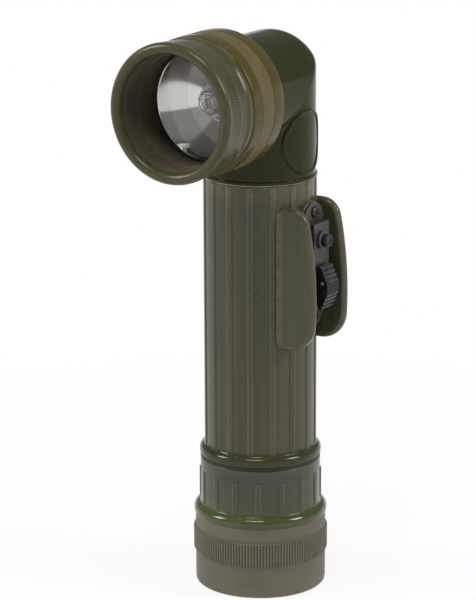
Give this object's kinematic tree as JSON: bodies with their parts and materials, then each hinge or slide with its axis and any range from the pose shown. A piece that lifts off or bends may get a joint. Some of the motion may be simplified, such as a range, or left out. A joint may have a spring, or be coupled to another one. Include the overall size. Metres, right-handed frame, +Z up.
{
  "type": "angle-head flashlight",
  "caption": "Angle-head flashlight with a ribbed barrel, a slide switch between guard wings, screw-off caps and a hooded round lamp head.",
  "frame": {"origin": "middle of the base cap's flat face", "axes": "+Z up the barrel's axis, the head looks along -Y, the switch is on the +X side and the belt clip on the +Y side"},
  "size_m": [0.0537, 0.0807, 0.2022],
  "materials": {
    "olive_barrel": "satin moulded plastic",
    "olive_elbow": "polished moulded plastic",
    "olive_cap": "polished moulded plastic",
    "brown_base": "matte moulded plastic",
    "ochre_ring": "satin moulded plastic",
    "olive_hood": "polished moulded plastic",
    "black_rubber": "dull",
    "clear_lens": "clear",
    "mirror_dish": "bright coated",
    "bulb_glass": "clear",
    "bulb_metal": "nickel plated",
    "filament_wire": "drawn",
    "brown_insulator": "pressed board",
    "dark_insulator": "moulded",
    "contact_brass": "rolled strip",
    "spring_steel": "tinned wire",
    "cell_can": "plain can",
    "black_metal": "black oxide, worn",
    "brown_screw": "dark plated",
    "black_slide": "moulded",
    "copper_pin": "copper",
    "olive_steel": "painted spring steel",
    "rivet_metal": "domed",
    "soft_foam": "soft foam",
    "red_plastic": "tinted clear",
    "blue_plastic": "tinted clear",
    "green_plastic": "tinted clear",
    "frosted_plastic": "frosted"
  },
  "bodies": {
    "body": {"barrel": "olive_barrel", "head_elbow": "olive_elbow", "cap_gasket": "black_rubber", "contact_disc": "brown_insulator", "disc_rivet": "contact_brass", "lamp_leaf": "contact_brass", "lamp_strip": "contact_brass", "ground_strip": "contact_brass", "battery_lower": "cell_can", "battery_upper": "cell_can", "switch_base": "dark_insulator", "contact_points": "contact_brass", "switch_gasket": "black_rubber", "switch_cover": "black_metal", "switch_screws": "brown_screw", "button_spring": "spring_steel", "belt_clip_root": "olive_steel", "clip_rivets": "rivet_metal"},
    "slide": {"switch_slide": "black_slide", "slide_pin": "copper_pin", "slide_contact": "contact_brass"},
    "button": {"flash_button": "black_slide"},
    "clip": {"belt_clip_arm": "olive_steel"},
    "cap_carrier": {"battery_spring": "spring_steel"},
    "cap": {"battery_cap": "olive_cap", "base_gasket": "black_rubber", "cap_contact": "contact_brass"},
    "base_carrier": {"filter_red": "red_plastic", "filter_blue": "blue_plastic", "filter_green": "green_plastic", "filter_clear": "frosted_plastic", "spare_bulb_cradle": "soft_foam", "spare_bulb_base": "bulb_metal", "spare_bulb_glass": "bulb_glass", "spare_bulb_filament": "filament_wire"},
    "base": {"base_cap": "brown_base"},
    "lamp": {"reflector": "mirror_dish", "lens": "clear_lens", "lens_gasket": "black_rubber", "bulb_glass": "bulb_glass", "bulb_base": "bulb_metal", "bulb_filament": "filament_wire", "bulb_holder": "dark_insulator", "bulb_contact": "contact_brass"},
    "ring": {"lens_ring": "ochre_ring"},
    "hood_carrier": {"hood_gasket": "black_rubber"},
    "hood": {"hood_ring": "olive_hood"}
  },
  "joints": [
    {"name": "switch_travel", "type": "slide", "parent": "body", "child": "slide", "axis": [0, 0, 1], "range_m": [0, 0.0056]},
    {"name": "button_press", "type": "slide", "parent": "body", "child": "button", "axis": [-1, 0, 0], "range_m": [0, 0.0014], "stiffness_N_per_m": 400, "springref_m": -0.002, "deforming": ["button_spring"]},
    {"name": "clip_flex", "type": "hinge", "parent": "body", "child": "clip", "pos_m": [0, 0.0207, 0.12235], "axis": [1, 0, 0], "range_deg": [0, 6], "stiffness_Nm_per_rad": 10},
    {"name": "cap_travel", "type": "slide", "parent": "body", "child": "cap_carrier", "axis": [0, 0, -1], "range_m": [0, 0.0105]},
    {"name": "cap_turn", "type": "hinge", "parent": "cap_carrier", "child": "cap", "pos_m": [0, 0, 0.0365], "axis": [0, 0, -1], "range_deg": [0, 1270]},
    {"name": "base_travel", "type": "slide", "parent": "cap", "child": "base_carrier", "axis": [0, 0, -1], "range_m": [0, 0.0095]},
    {"name": "base_turn", "type": "hinge", "parent": "base_carrier", "child": "base", "pos_m": [0, 0, 0.013], "axis": [0, 0, -1], "range_deg": [0, 1150]},
    {"name": "ring_travel", "type": "slide", "parent": "body", "child": "lamp", "axis": [0, -1, 0], "range_m": [0, 0.013]},
    {"name": "ring_turn", "type": "hinge", "parent": "lamp", "child": "ring", "pos_m": [0, -0.03, 0.1783], "axis": [0, -1, 0], "range_deg": [0, 1570]},
    {"name": "hood_travel", "type": "slide", "parent": "ring", "child": "hood_carrier", "axis": [0, -1, 0], "range_m": [0, 0.0062]},
    {"name": "hood_turn", "type": "hinge", "parent": "hood_carrier", "child": "hood", "pos_m": [0, -0.048, 0.1783], "axis": [0, -1, 0], "range_deg": [0, 750]}
  ],
  "couplings": [
    {"joint": "cap_turn", "follows": "cap_travel", "rad_per_m": 2094.4},
    {"joint": "base_turn", "follows": "base_travel", "rad_per_m": 2094.4},
    {"joint": "ring_turn", "follows": "ring_travel", "rad_per_m": 2094.4},
    {"joint": "hood_turn", "follows": "hood_travel", "rad_per_m": 2094.4}
  ]
}
